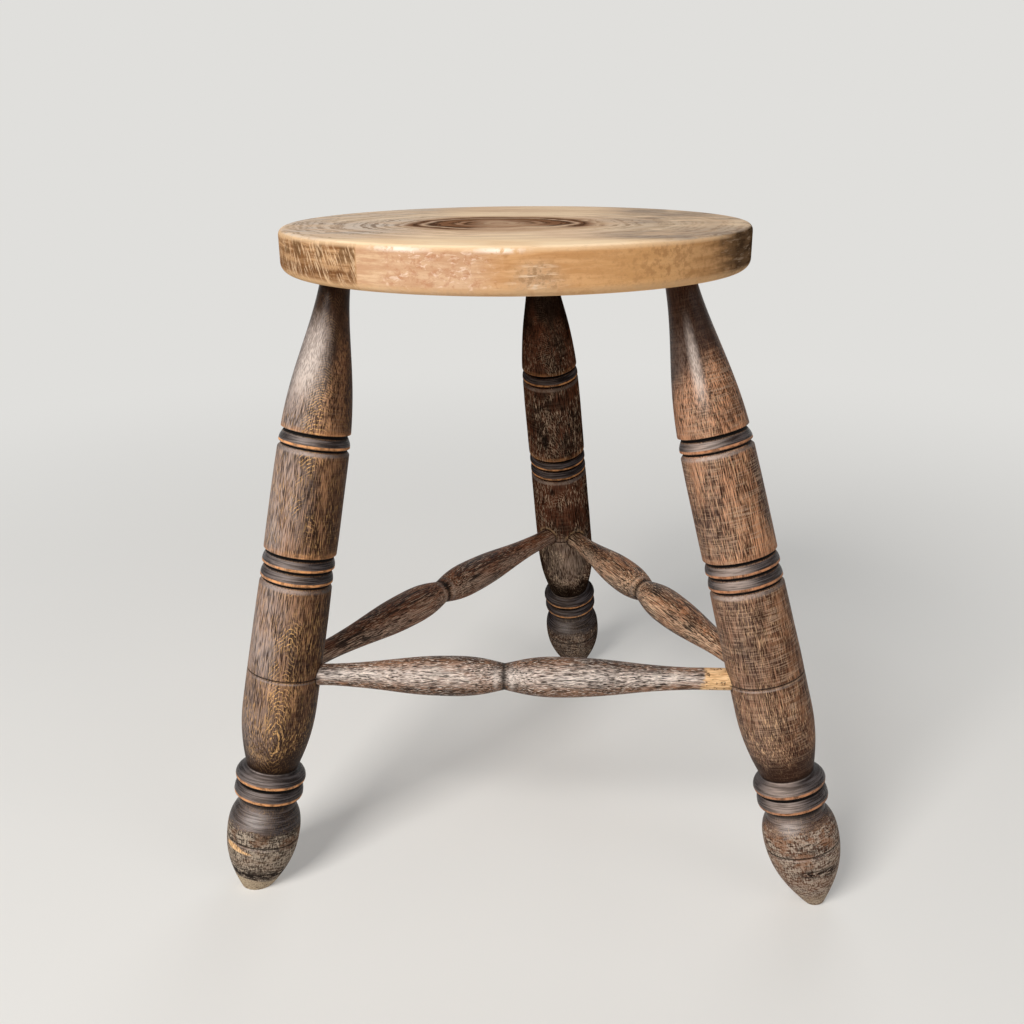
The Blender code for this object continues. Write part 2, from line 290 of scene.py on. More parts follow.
def shaft(start, end, start_radius, end_radius, mark=None):
    """Rows of a plain shaft, slightly full, with a worn end or with a scribed line at a mark."""
    along = np.linspace(start, end, SHAFT_ROWS, endpoint=False)
    if mark is not None:
        along = np.union1d(along, np.linspace(mark - 0.0024, mark + 0.0024, 33))
    t = (along - start) / (end - start)
    radius = start_radius + (end_radius - start_radius) * (1 - (1 - t) ** 2)
    pale = 0.9 * bump(along, start, 0.0006)
    if mark is None:
        return rows_of(along, radius, 0.5 * bump(along, end, 0.0014), 0.0, 0.0, pale)
    cut = scribed(along, mark)
    below = bump(along, mark + 0.0013, 0.0005)
    return rows_of(along, radius - cut, 0.0, cut / SCRIBE_DEPTH, 0.0, np.maximum(pale, 0.75 * below))


def collar(start, crown, lip_end, end, pale):
    """Rows of a collar: a quarter ellipse out to its crown, a worn lip, a quarter ellipse back under it in
    painted shade.
    """
    lip = (lip_end, crown[1] - LIP_DROP)
    t = shares(COLLAR_ROWS)
    angle = 0.5 * math.pi * t
    face_along = start[0] + (crown[0] - start[0]) * (1 - np.cos(angle))
    face_radius = start[1] + (crown[1] - start[1]) * np.sin(angle)
    face = rows_of(face_along, face_radius, ease(t, 0.93, 1.0), 0.0, 1.0, pale * bump(t, 0.0, 0.07))
    edge_along = crown[0] + (lip[0] - crown[0]) * t
    edge_radius = crown[1] + (lip[1] - crown[1]) * t
    edge = rows_of(edge_along, edge_radius, 1 - ease(t, 0.75, 1.0))
    under_along = lip[0] + (end[0] - lip[0]) * (1 - np.cos(angle))
    under_radius = lip[1] + (end[1] - lip[1]) * np.sin(angle)
    # Painted shade under the lip
    under = rows_of(under_along, under_radius, 0.0, ease(t, 0.0, 0.12))
    return np.vstack([face, edge, under])


def leg_rows(setting, axis):
    """All rows of one leg, from the top of its tenon to the tip of its foot."""
    level = -axis[2]
    slant = math.sqrt(1 - level * level)
    depth = (SEAT_THICKNESS - SOCKET_ROOF - (TENON_RADIUS + CLEARANCE) * slant) / level
    top = CLEARANCE - depth - setting.stand_off
    tenon = rows_of(
        np.array([top, top, top + TENON_CHAMFER, 0.0]),
        np.array([0.0, TENON_RADIUS - TENON_CHAMFER, TENON_RADIUS, TENON_RADIUS]),
    )
    taper = sweep((NECK, TENON_RADIUS), (UPPER_BAND, TAPER_END_RADIUS), (0.335, 0.17), (0.42, 0.18), 80)
    ankle = sweep((LOWER_TAPER, LOWER_TAPER_RADIUS), (ANKLE, ANKLE_RADIUS), (0.40, 0.0), (0.33, 0.64), 40)
    groove = (COLLAR_GROOVE, COLLAR_GROOVE_RADIUS)
    upper_crown = (UPPER_CROWN, UPPER_COLLAR_RADIUS)
    lower_crown = (LOWER_CROWN, LOWER_COLLAR_RADIUS)
    upper_collar = collar((ANKLE, ANKLE_RADIUS), upper_crown, UPPER_LIP, groove, 0.9)
    lower_collar = collar(groove, lower_crown, LOWER_LIP, (COLLAR_END, BULB_NECK_RADIUS), 0.0)
    neck = np.linspace(COLLAR_END, BULB_NECK, 6, endpoint=False)
    bulb = sweep((BULB_NECK, BULB_NECK_RADIUS), (BULB, BULB_RADIUS), (0.25, 0.65), (0.50, 0.0), 34)
    foot = sweep((BULB, BULB_RADIUS), (FOOT_ROUND, FOOT_ROUND_RADIUS), (0.375, 0.0), (0.375, 0.68), 110)
    cut = scribed(foot[0], BULB_MARK)
    below = bump(foot[0], BULB_MARK + 0.0012, 0.0005)
    tip = rows_of(
        np.array([FOOT_ROUND, FOOT_END, FOOT_END]),
        np.array([FOOT_ROUND_RADIUS, FOOT_END_RADIUS, 0.0]),
    )
    parts = [
        tenon,
        rows_of(*taper, 0.45 * bump(taper[0], UPPER_BAND, 0.0012)),
        band(UPPER_BAND, UPPER_BEADS, TAPER_END_RADIUS, UPPER_SHAFT_RADIUS),
        shaft(UPPER_SHAFT, MIDDLE_BAND, UPPER_SHAFT_RADIUS, SHAFT_RADIUS),
        band(MIDDLE_BAND, MIDDLE_BEADS, SHAFT_RADIUS, SHAFT_RADIUS),
        shaft(LOWER_SHAFT, LOWER_TAPER, SHAFT_RADIUS, LOWER_TAPER_RADIUS, SCRIBED_MARK),
        # Painted shade where the ankle runs into the upper collar
        rows_of(*ankle, 0.0, 0.75 * ease(ankle[0], ANKLE - 0.004, ANKLE)),
        upper_collar,
        lower_collar,
        # Painted shade under the lower collar's lip, fading down the neck
        rows_of(neck, BULB_NECK_RADIUS, 0.0, 0.9 - 0.9 * ease(neck, COLLAR_END, BULB_NECK - 0.001), 0.8),
        rows_of(*bulb, 0.0, 0.0, 0.9 - 0.9 * ease(bulb[0], *BULB_POLISH_EDGE)),
        rows_of(foot[0], foot[1] - cut, 0.0, cut / SCRIBE_DEPTH, 0.0, 0.55 * below),
        tip,
    ]
    return np.vstack(parts)


def stretcher_rows(length, plain):
    """Rows of half a stretcher, from its waist out to the end of its tenon."""
    swell_top = (SWELL_DISTANCE, SWELL_RADIUS)
    taper_end = length - plain
    swell = sweep((0.0, WAIST_RADIUS), swell_top, (0.25, 0.40), (0.50, 0.0), 44)
    taper = sweep(swell_top, (taper_end, STRETCHER_TENON_RADIUS), (0.40, 0.0), (0.44, 0.18), 90)
    end = np.linspace(taper_end, length - STRETCHER_CHAMFER, 24)
    tip = rows_of(np.array([length, length]), np.array([STRETCHER_TENON_RADIUS - STRETCHER_CHAMFER, 0.0]))
    # Painted shade in the sharp waist, and a painted glint in a pale band each side of it
    crease = 0.85 * bump(swell[0], 0.0, 0.0019)
    pale = 0.6 * bump(swell[0], 0.0042, 0.0012)
    plain_end = rows_of(end, STRETCHER_TENON_RADIUS)
    return np.vstack([rows_of(*swell, 0.0, crease, 0.0, pale), rows_of(*taper), plain_end, tip])


def add_object(name, data):
    """A new object in the scene."""
    thing = bpy.data.objects.new(name, data)
    bpy.context.scene.collection.objects.link(thing)
    return thing


def turned_mesh(name, points, timber, cuts, wear):
    """A closed mesh from a grid of points whose first and last rows are each drawn together into one pole."""
    rows, columns = points.shape[:2]
    ring = np.arange(columns)
    after = (ring + 1) % columns
    body = np.arange(rows - 2)[:, None] * columns
    upper, lower = body[:-1], body[1:]
    quads = np.stack([upper + ring, lower + ring, lower + after, upper + after], axis=-1).reshape(-1, 4)
    first_pole = (rows - 2) * columns
    last_row = body[-1]
    first_fan = np.stack([np.full(columns, first_pole), ring, after], axis=-1)
    last_fan = np.stack([last_row + ring, np.full(columns, first_pole + 1), last_row + after], axis=-1)

    def packed(grid):
        """Grid values in vertex order: the inner rows, then the two poles."""
        return np.vstack([grid[1:-1].reshape(-1, grid.shape[-1]), grid[0, 0], grid[-1, 0]])

    mesh = bpy.data.meshes.new(name)
    mesh.from_pydata(packed(points).tolist(), [], quads.tolist() + first_fan.tolist() + last_fan.tolist())
    mesh.attributes.new("timber", "FLOAT_VECTOR", "POINT").data.foreach_set("vector", packed(timber).ravel())
    mesh.attributes.new("cuts", "FLOAT_COLOR", "POINT").data.foreach_set("color", packed(cuts).ravel())
    mesh.attributes.new("wear", "FLOAT_COLOR", "POINT").data.foreach_set("color", packed(wear).ravel())
    mesh.shade_smooth()
    return add_object(name, mesh)


def turned_piece(name, rows, start, axis, columns, shape):
    """Carry profile rows round an axis.

    A point is start plus along times the axis plus radius times the turning direction. Angle 0 faces the
    viewer of the photograph. The function shape gives each grid point its change in radius, and may settle
    its cuts and wear. A leg's points below the floor are drawn back along it to the floor.
    """
    view = EYE - start - axis * rows[:, 0].mean()
    toward = unit(view - axis * (view @ axis))
    aside = np.cross(toward, axis)
    turned = np.linspace(0, 2 * math.pi, columns, endpoint=False)[None, :]
    turn = np.cos(turned)[..., None] * toward + np.sin(turned)[..., None] * aside
    along = np.repeat(rows[:, :1], columns, axis=1)
    angle = np.broadcast_to(np.where(turned > math.pi, turned - 2 * math.pi, turned), along.shape)
    cuts = np.repeat(rows[:, None, 2:], columns, axis=1)
    centre = start + along[..., None] * axis
    grid = Grid(along, angle, centre + rows[:, 1, None, None] * turn, cuts, np.zeros_like(cuts))
    change = np.where(rows[:, 1:2] > 0, shape(grid), 0.0)
    radius = np.clip(rows[:, 1:2] + change, 0.0, None)
    timber = np.stack([radius * np.cos(angle), radius * np.sin(angle), along], axis=-1)
    points = centre + radius[..., None] * turn
    if axis[2] < -0.5:
        points = points + (np.clip(-points[..., 2], 0, None) / axis[2])[..., None] * axis
    return turned_mesh(name, points, timber, np.clip(cuts, 0, 1), np.clip(grid.wear, 0, 1))


def leg_axis(setting):
    """The unit direction down a leg, from its slopes outwards and sideways."""
    bearing = math.radians(setting.bearing)
    outwards = np.array([math.cos(bearing), math.sin(bearing), 0]) * math.tan(math.radians(setting.splay))
    sideways = np.array([-math.sin(bearing), math.cos(bearing), 0]) * math.tan(math.radians(setting.lean))
    return unit(outwards + sideways - np.array([0, 0, 1]))


def point_on_leg(name, along):
    """A point on a leg's axis, at a distance below the leg's shoulder mark."""
    setting = LEGS[name]
    bearing = math.radians(setting.bearing)
    entry = SEAT_FOOT + LEG_CIRCLE * np.array([math.cos(bearing), math.sin(bearing), 0])
    return entry + leg_axis(setting) * (setting.stand_off + along)


def stretcher_ends(setting):
    """Where a stretcher's axis meets the axes of its two legs."""
    start = point_on_leg(setting.first_leg, STRETCHER_MARK - setting.first_rise)
    end = point_on_leg(setting.last_leg, STRETCHER_MARK - setting.last_rise)
    return start, end


def nick(grid, at, bearing, length, width):
    """A small patch, 1 in its middle, that fades over a length down the piece and some degrees round it."""
    return bump(grid.along, at, length) * bump(grid.angle, math.radians(bearing), math.radians(width))


def deepen(values, kind, level):
    """Raise one kind of cut or wear to a level where it is less."""
    values[..., kind] = np.maximum(values[..., kind], level)


def mark_entries(grid, leg_name, tan):
    """Dark joints with painted contact shade, and tan rings of old glue, where stretchers go in, by the
    distance from their axes.
    """
    for setting in STRETCHERS.values():
        if leg_name not in (setting.first_leg, setting.last_leg):
            continue
        start, end = stretcher_ends(setting)
        if setting.last_leg == leg_name:
            start, end = end, start
        run = unit(end - start)
        offset = grid.points - start
        reach = offset @ run
        gap = np.linalg.norm(offset - reach[..., None] * run, axis=-1) - STRETCHER_TENON_RADIUS
        outside = ease(reach, 0.0, 0.004)
        above = ease(offset[..., 2], -0.001, 0.004)
        # The joint is darkened with painted contact shade
        joint = 0.9 * outside * (1 - ease(gap, 0.0003, 0.0012))
        deepen(grid.cuts, DARK_AND_SHADE, joint)
        glue = tan * outside * above * bump(gap, 0.0014, 0.0007)
        deepen(grid.wear, TAN, glue)


def make_leg(name):
    """One leg of the shared pattern, with its own nicks and bare foot, trimmed flat on the floor."""
    setting = LEGS[name]
    axis = leg_axis(setting)

    def shape(grid):
        """Slow unevenness, nicked lips, a weathered bulb, and what is particular to this leg."""
        along, angle, wear = grid.along, grid.angle, grid.wear
        uneven = unevenness(along, angle, setting.seed)
        ragged = unevenness(9 * along, 3 * angle, setting.seed + 1)
        grid.cuts[..., LIP] *= np.clip(0.9 + 0.6 * ragged, 0.25, 1.1)
        faded = unevenness(3 * along, 2 * angle, setting.seed + 2)
        grid.cuts[..., PALE] *= np.clip(0.85 + 0.5 * faded, 0.3, 1)
        change = 0.0001 * uneven - 0.0002
        mark_entries(grid, name, 1.0 if name == "leg_back" else 0.3)
        wear[..., WEATHER] = ease(along + 0.002 * ragged, *BULB_WEATHER_EDGE)
        if name == "leg_left":
            edge = BARE_FOOT + 0.0005 * uneven + 0.0007 * np.sin(3 * angle)
            wear[..., BARE] = ease(along, edge, edge + 0.0006)
            wear[..., CHAR] = 0.8 * bump(along, 0.3055, 0.0022) * ease(angle, -0.3, 0.2)
            wear[..., CHAR] += bump(along, 0.3325, 0.0042)
            wear[..., TAN] = nick(grid, 0.2585, -42, 0.0018, 8) + nick(grid, 0.2600, -22, 0.0007, 10)
            chip = nick(grid, 0.3160, -52, 0.0021, 20) + 0.7 * nick(grid, 0.3174, -26, 0.0009, 16)
            deepen(wear, BARE, ease(chip, 0.35, 0.6))
            return change - 0.0005 * chip
        if name == "leg_right":
            wear[..., BARE] = 0.45 * ease(along, 0.339, 0.347)
            wear[..., WEATHER] = ease(along + 0.003 * ragged, *RIGHT_WEATHER_EDGE)
            grid.cuts[..., POLISH] *= 1 - 0.65 * ease(along, BULB_NECK - 0.001, BULB_NECK + 0.006)
            wear[..., CHAR] = 1.3 * nick(grid, 0.3235, 4, 0.0026, 22)
            wear[..., CHAR] += 1.3 * nick(grid, 0.3250, 40, 0.0030, 14)
            wear[..., CHAR] += 0.5 * nick(grid, 0.3095, 20, 0.002, 30)
            return change - 0.0004 * nick(grid, 0.3260, -10, 0.002, 14)
        wear[..., WEATHER] *= 0.55
        spots = nick(grid, 0.1300, -22, 0.0065, 7) + nick(grid, 0.1710, -18, 0.0035, 6)
        deepen(grid.cuts, DARK_AND_SHADE, 0.8 * ease(spots, 0.3, 0.7))
        return change

    rows = leg_rows(setting, axis)
    return turned_piece(name + "_turning", rows, point_on_leg(name, 0.0), axis, LEG_COLUMNS, shape)


def make_stretcher(name):
    """One stretcher: two swelled halves that meet in a sharp waist, and plain ends that go into the legs."""
    setting = STRETCHERS[name]
    start, end = stretcher_ends(setting)
    run = unit(end - start)
    waist = (start + end) / 2 + run * setting.waist_shift
    plain = SHAFT_RADIUS - TENON_STOP
    first_length = np.linalg.norm(waist - start) - TENON_STOP
    last_length = np.linalg.norm(end - waist) - TENON_STOP
    first = stretcher_rows(first_length, setting.first_plain + plain)
    last = stretcher_rows(last_length, setting.last_plain + plain)
    mirrored = first[::-1] * np.array([-1, 1, 1, 1, 1, 1])
    rows = np.vstack([mirrored[:-1], last])

    def shape(grid):
        """Slow unevenness, and on the front stretcher a bare tenon drawn out of the right leg."""
        if name == "stretcher_front":
            edge = last_length - plain - 0.0150 + 0.0012 * np.sin(grid.angle + 0.6)
            edge = edge + 0.0018 * unevenness(40 * grid.along, 7 * grid.angle, setting.seed)
            grid.wear[..., BARE] = ease(grid.along, edge, edge + 0.0009)
        return 0.0001 * unevenness(grid.along, grid.angle, setting.seed)

    return turned_piece(name + "_turning", rows, waist, run, STRETCHER_COLUMNS, shape)


def make_seat():
    """The plank disc: a flat top, a rounded rim and a flat underside, as one turned surface.

    The rim is drawn in unevenly by up to half a millimetre, as a sanded edge is.
    """
    turn = np.linspace(0, 0.5 * math.pi, 14)
    top_radius = SEAT_RADIUS - SEAT_TOP_ROUND * (1 - np.sin(turn))
    top_along = -SEAT_THICKNESS + SEAT_TOP_ROUND * (1 - np.cos(turn))
    low_radius = SEAT_RADIUS - SEAT_BOTTOM_ROUND * (1 - np.cos(turn))
    low_along = SEAT_BOTTOM_ROUND * (np.sin(turn) - 1)
    top = np.linspace(0, SEAT_RADIUS - SEAT_TOP_ROUND, 60, endpoint=False)
    rim = np.linspace(SEAT_TOP_ROUND - SEAT_THICKNESS, -SEAT_BOTTOM_ROUND, 26)[1:-1]
    under = np.linspace(SEAT_RADIUS - SEAT_BOTTOM_ROUND, 0, 26)[1:]
    radius = np.concatenate([top, top_radius, np.full(len(rim), SEAT_RADIUS), low_radius, under])
    level = np.full(len(top), -SEAT_THICKNESS)
    along = np.concatenate([level, top_along, rim, low_along, np.zeros(len(under))])

    def shape(grid):
        """The rim drawn in a little, unevenly, where it was sanded by hand."""
        uneven = 1.2 + unevenness(0.3 * grid.along, 2 * grid.angle, 41)
        return -0.0002 * uneven * ease(grid.along, -0.0225, -0.0185)

    down = np.array([0, 0, -1.0])
    return turned_piece("seat_plank", rows_of(along, radius), SEAT_FOOT, down, SEAT_COLUMNS, shape)


def linear(red, green, blue):
    """A colour as seen on a screen, 0 to 255, as the light it stands for."""
    values = np.array([red, green, blue]) / 255
    light = np.where(values <= 0.04045, values / 12.92, ((values + 0.055) / 1.055) ** 2.4)
    return (*light.tolist(), 1.0)


SURROUND = linear(224, 223, 220)


class Value:
    """A number worked out in a tree of nodes: arithmetic on it adds a node to the tree."""

    def __init__(self, nodes, socket):
        self.nodes = nodes
        self.socket = socket

    def __add__(self, other):
        return self.nodes.sums("ADD", self, other)

    def __sub__(self, other):
        return self.nodes.sums("SUBTRACT", self, other)

    def __rsub__(self, other):
        return self.nodes.sums("SUBTRACT", other, self)

    def __mul__(self, other):
        return self.nodes.sums("MULTIPLY", self, other)

    def __abs__(self):
        return self.nodes.sums("ABSOLUTE", self)

    def step(self, low, high, start=0.0, end=1.0):
        """A soft step from start to end as the value goes from low to high."""
        inputs = (self, low, high, start, end)
        node = self.nodes.node("MapRange", inputs, interpolation_type="SMOOTHSTEP")
        return Value(self.nodes, node.outputs[0])

    def hump(self, middle, width):
        """1 where the value is at the middle, falling softly to 0 one width away."""
        return abs(self - middle).step(width, 0.0)


class Nodes:
    """A tree of nodes: each method adds one node, or a few, and gives what comes out of it.

    Colours to be mixed are given as seen on a screen.
    """

    def __init__(self, tree):
        self.tree = tree

    def put(self, socket, value):
        """Link an output to a socket, or set the socket to a plain value."""
        if isinstance(value, Value):
            value = value.socket
        if isinstance(value, bpy.types.NodeSocket):
            self.tree.links.new(value, socket)
        else:
            socket.default_value = value

    def fill(self, node, values):
        """Give values to a node's inputs, by name in a dictionary or else to its first ones in order."""
        named = values if isinstance(values, dict) else dict(enumerate(values))
        for key, value in named.items():
            self.put(node.inputs[key], value)

    def node(self, kind, values=(), **settings):
        """A new node with its settings and with values for its inputs."""
        node = self.tree.nodes.new("ShaderNode" + kind)
        for setting, choice in settings.items():
            setattr(node, setting, choice)
        self.fill(node, values)
        return node

    def attribute(self, name, output):
        """A value stored on the piece's points."""
        return self.node("Attribute", attribute_name=name).outputs[output]

    def object_place(self):
        """Where a point lies in the object's own frame."""
        return self.node("TexCoord").outputs["Object"]

    def sums(self, operation, *values):
        """Arithmetic on numbers."""
        return Value(self, self.node("Math", values, operation=operation).outputs[0])

    def most(self, first, *others):
        """The largest of several numbers."""
        for other in others:
            first = self.sums("MAXIMUM", first, other)
        return first

    def split(self, vector):
        """The three parts of a vector."""
        return [Value(self, part) for part in self.node("SeparateXYZ", [vector]).outputs]

    def join(self, x, y, z):
        """A vector from three parts."""
        return self.node("CombineXYZ", (x, y, z)).outputs[0]

    def vectors(self, operation, first, second):
        """Arithmetic on vectors."""
        return self.node("VectorMath", (first, second), operation=operation).outputs["Vector"]

    def length(self, vector):
        """How long a vector is."""
        return Value(self, self.node("VectorMath", [vector], operation="LENGTH").outputs["Value"])

    def noise(self, place, scale, detail=2.0, roughness=0.5, shift=0.0, curl=0.0):
        """Cloudy noise about 0.5, stretched by a scale for each direction, and curled where asked."""
        moved = self.vectors("ADD", self.vectors("MULTIPLY", place, scale), (shift, 1.7 * shift, 2.3 * shift))
        values = {"Vector": moved, "Scale": 1.0, "Detail": detail, "Roughness": roughness, "Distortion": curl}
        return Value(self, self.node("TexNoise", values).outputs["Fac"])

    def blend(self, share, first, second):
        """Two colours mixed by a share."""
        node = self.node("Mix", [share], data_type="RGBA")
        for socket, colour in zip(node.inputs[6:8], (first, second)):
            self.put(socket, linear(*colour) if isinstance(colour, tuple) else colour)
        return node.outputs[2]

    def tones(self, value, low, high, first, second):
        """A colour that goes from the first to the second as a value goes from low to high."""
        return self.blend(value.step(low, high), first, second)

    def seen_share(self):
        """1 for light that reaches the camera straight, by a reflection or through glass, else 0."""
        path = self.node("LightPath").outputs
        kinds = ("Is Camera Ray", "Is Glossy Ray", "Is Transmission Ray")
        return self.most(*[Value(self, path[kind]) for kind in kinds])


class Finish(Nodes):
    """A material's nodes, with the colour so far."""

    def __init__(self, name):
        self.material = bpy.data.materials.new(name)
        self.material.use_nodes = True
        super().__init__(self.material.node_tree)
        self.shader = self.tree.nodes["Principled BSDF"]
        self.colour = BLACK

    def tint(self, share, colour):
        """Lay another colour over the colour so far."""
        self.colour = self.blend(share, self.colour, colour)

    def settle(self, rough, gloss):
        """Give the shader the colour so far, a roughness and a strength of reflection."""
        self.fill(self.shader, {"Base Color": self.colour, "Roughness": rough, "Specular IOR Level": gloss})

    def relief(self, height, strength):
        """Bump from a height between 0 and 1."""
        node = self.node("Bump", {"Strength": strength, "Distance": RELIEF_DEPTH, "Height": height})
        self.fill(self.shader, {"Normal": node.outputs[0]})


class Stain(NamedTuple):
    """How one turned piece is stained and worn, with the left leg's values for what isn't said otherwise.

    Sides are in radians from the viewer's side.
    """
    # Colours: dark and lighter fibres, flecks, a dry film with painted highlight, worn lips, the bulb's dark
    # and pale streaks
    deep: tuple = (40, 22, 13)
    middle: tuple = (156, 114, 84)
    fleck: tuple = (230, 180, 118)
    film: tuple = (180, 164, 157)
    worn: tuple = (222, 158, 106)
    bulb_dark: tuple = (72, 60, 52)
    bulb_pale: tuple = (166, 151, 134)
    # The side, reach and share of the dry film with its painted highlight, and what is added to its share
    # near the floor
    film_side: float = -0.85
    film_reach: float = 1.30
    film_share: float = 0.70
    film_low: float = -0.3
    # The side, reach and share of a painted highlight on the upper taper, and the share of painted highlights
    # on the beads and the top of the bulb
    painted_sheen_side: float = -0.60
    painted_sheen_reach: float = 0.95
    painted_sheen: float = 0.75
    pale_sheen: float = 0.40
    # The darker side, its share, and the shares below the middle beads and below the scribed line
    dark_side: float = 1.3
    dark_share: float = 0.78
    dark_below: float = 0.0
    dark_low: float = 0.6
    # How far aside the timber's heart lies, its slope, the rings' width, and fibre waves per metre
    heart_aside: float = 0.002
    heart_slope: float = 0.15
    ring: float = 0.00042
    grain: float = 150.0
    # Strength of ring flecks and fine flecks, how clustered those are, and cracks, turning lines and pores
    arches: float = 0.85
    flecks: float = 0.45
    clusters: float = 0.5
    cracks: float = 0.0
    turning: float = 0.12
    pores: float = 0.75
    # How sleek and shaded the upper end is, darker with painted shade under the seat, how its edge slants,
    # the gloss, and a seed of its own
    sleek_and_shaded: float = 1.0
    slant: float = 0.018
    gloss: float = 0.08
    seed: float = 1.0


class StainedFinish(Finish):
    """Dark stained wood, worn by long use, on a turned piece, with painted highlights and painted shade, laid
    on in layers over the colour so far.
    """

    def __init__(self, name, stain):
        super().__init__(name)
        self.stain = stain
        self.timber = self.attribute("timber", "Vector")
        self.toward, self.aside, self.along = self.split(self.timber)
        self.angle = self.sums("ARCTAN2", self.aside, self.toward)
        self.lip, self.soot, self.polish = self.split(self.attribute("cuts", "Color"))
        self.pale = Value(self, self.attribute("cuts", "Alpha"))
        self.bare, self.weather, self.char = self.split(self.attribute("wear", "Color"))
        self.tan = Value(self, self.attribute("wear", "Alpha"))
        self.cloud = self.cloudy((60, 60, 26), 0, 3.0)
        self.patch = self.cloudy((95, 95, 45), 11, 3.0)
        self.fibre = self.cloudy((2100, 2100, stain.grain), 7)
        self.flake = self.cloudy((260, 260, 700), 31, 3.0)
        self.colour = stain.deep

    def cloudy(self, scale, seed, detail=1.0):
        """Noise in the timber, with this piece's own seed."""
        return self.noise(self.timber, scale, detail, 0.6, self.stain.seed + seed)

    def lay_stain(self):
        """Dark and lighter fibres in slow clouds, with darker patches and long dark threads."""
        stain = self.stain
        self.tint((self.cloud * 0.5 + self.fibre * 0.5).step(0.41, 0.59), stain.middle)
        self.tint(self.patch.step(0.54, 0.68, 0.0, 0.6), stain.deep)
        thread = self.cloudy((2600, 2600, 0.4 * stain.grain), 23)
        self.tint(thread.step(0.52, 0.62, 0.0, 0.7), stain.deep)
        darker_side = self.angle.hump(stain.dark_side, 1.1) * stain.dark_share
        darker_below = self.along.step(MIDDLE_BAND, LOWER_SHAFT, 0.0, stain.dark_below)
        darker_low = self.along.step(SCRIBED_MARK, DARK_LOW_END, 0.0, stain.dark_low)
        self.tint(self.most(darker_side, darker_below, darker_low), stain.deep)

    def close_and_shade_grain(self):
        """The upper end and the ankle, so dark and smooth that little grain shows there: a darker finish with
        painted shade under the seat and at the ankle.
        """
        stain = self.stain
        edge = (self.cloud - 0.5) * 0.05 + self.along
        edge = self.sums("SINE", self.angle) * stain.slant + edge
        self.sleek_and_shaded = edge.step(*SLEEK_AND_SHADED_EDGE) * stain.sleek_and_shaded
        ragged = (self.patch - 0.5) * 0.03 + self.along
        ankle = ragged.step(*DARK_ANKLE) * self.along.step(ANKLE + 0.0002, ANKLE)
        self.ankle = ankle * stain.sleek_and_shaded
        closed_and_shaded = self.most(self.sleek_and_shaded, self.ankle)
        self.open_unshaded_grain = 1.0 - closed_and_shaded * 0.85
        # Painted shade on a darker finish, near black over the upper end and the ankle
        self.tint(closed_and_shaded * 0.93, self.blend(0.4, stain.deep, BLACK))

    def lay_film(self):
        """A pale layer on one side, streaked with the grain, partly dry and partly a painted highlight on the
        lit side, and fine dry lines left by turning.
        """
        stain = self.stain
        low = self.along.step(*FILM_AND_SHEEN_LOW_EDGE) * self.open_unshaded_grain
        share = low * stain.film_low + stain.film_share
        streaked = (self.patch * 0.5 + self.fibre).step(0.58, 0.88, 0.15, 1.0)
        # No pale layer on the upper end, dark with painted shade under the seat, nor on the ankle
        shaded_top = self.along.step(*SHADED_TOP_EDGE) * stain.sleek_and_shaded
        dry = 1.0 - self.most(self.ankle, shaded_top)
        faced = self.angle.hump(stain.film_side, stain.film_reach)
        # Partly a dry pale film, partly a painted highlight on the lit side
        self.tint(faced * share * streaked * dry, stain.film)
        lines = self.cloudy((60, 60, 1250), 19, 2.0).step(0.49, 0.60)
        lines = lines * self.patch.step(0.38, 0.60, 0.3, 1.0) * self.open_unshaded_grain
        self.tint(lines * stain.turning, (164, 136, 114))

    def lay_painted_sheen(self):
        """A painted highlight down one side of the upper taper, over the grain."""
        stain = self.stain
        place = self.along.step(*PAINTED_SHEEN_EDGE) * self.along.step(UPPER_BAND, TAPER_MIDDLE)
        streaked = (self.cloud + self.fibre).step(0.80, 1.15, 0.5, 1.0)
        faced = self.angle.hump(stain.painted_sheen_side, stain.painted_sheen_reach)
        self.tint(faced * (place * place) * streaked * stain.painted_sheen, (220, 205, 195))

    def ring_figure(self):
        """Growth rings on the turned surface.

        They are a wave of the distance from a heart line that slopes in the timber.
        """
        stain = self.stain
        wobble = (self.cloudy((120, 120, 50), 3, 3.0) - 0.5) * 0.0018
        depth = self.along * stain.heart_slope + (self.toward + HEART_DEPTH)
        across = self.aside + stain.heart_aside
        heart = self.length(self.join(depth + wobble, across, 0.0))
        return self.sums("SINE", heart * (2 * math.pi / stain.ring)).step(0.45, 0.95)

    def lay_flecks(self):
        """Light flecks broken along the rings, finer flecks between them, and dark pores."""
        stain = self.stain
        broken = self.cloudy((700, 700, 900), 5).step(0.38, 0.50)
        spread = self.cloudy((70, 70, 50), 53, 2.0)
        patchy = spread.step(0.40, 0.54)
        faced = self.aside.hump(-0.0015, 0.0110)
        rings = self.ring_figure() * broken * patchy * faced * self.open_unshaded_grain * stain.arches
        fine = self.cloudy((2300, 2300, 1.6 * stain.grain), 17).step(0.57, 0.66)
        fine = fine * spread.step(0.38, 0.58, 1.0 - stain.clusters, 1.0)
        fine = fine * self.along.step(*LOW_FLECKS_EDGE, 1.0, 1.4) * self.open_unshaded_grain * stain.flecks
        taper = self.along.step(UPPER_SHAFT, TAPER_MIDDLE) * stain.sleek_and_shaded
        fine = fine * (1.0 - taper * 0.6)
        self.figure = self.most(rings, fine)
        self.tint(self.figure, stain.fleck)
        pore = self.cloudy((2200, 2200, 0.7 * stain.grain), 9).step(0.55, 0.64)
        self.pore = pore * self.open_unshaded_grain * stain.pores
        self.tint(self.pore, self.blend(0.5, BLACK, stain.deep))
        crack = self.cloudy((430, 430, 24), 61, 2.0).step(0.59, 0.63)
        self.tint(crack * stain.cracks, BLACK)

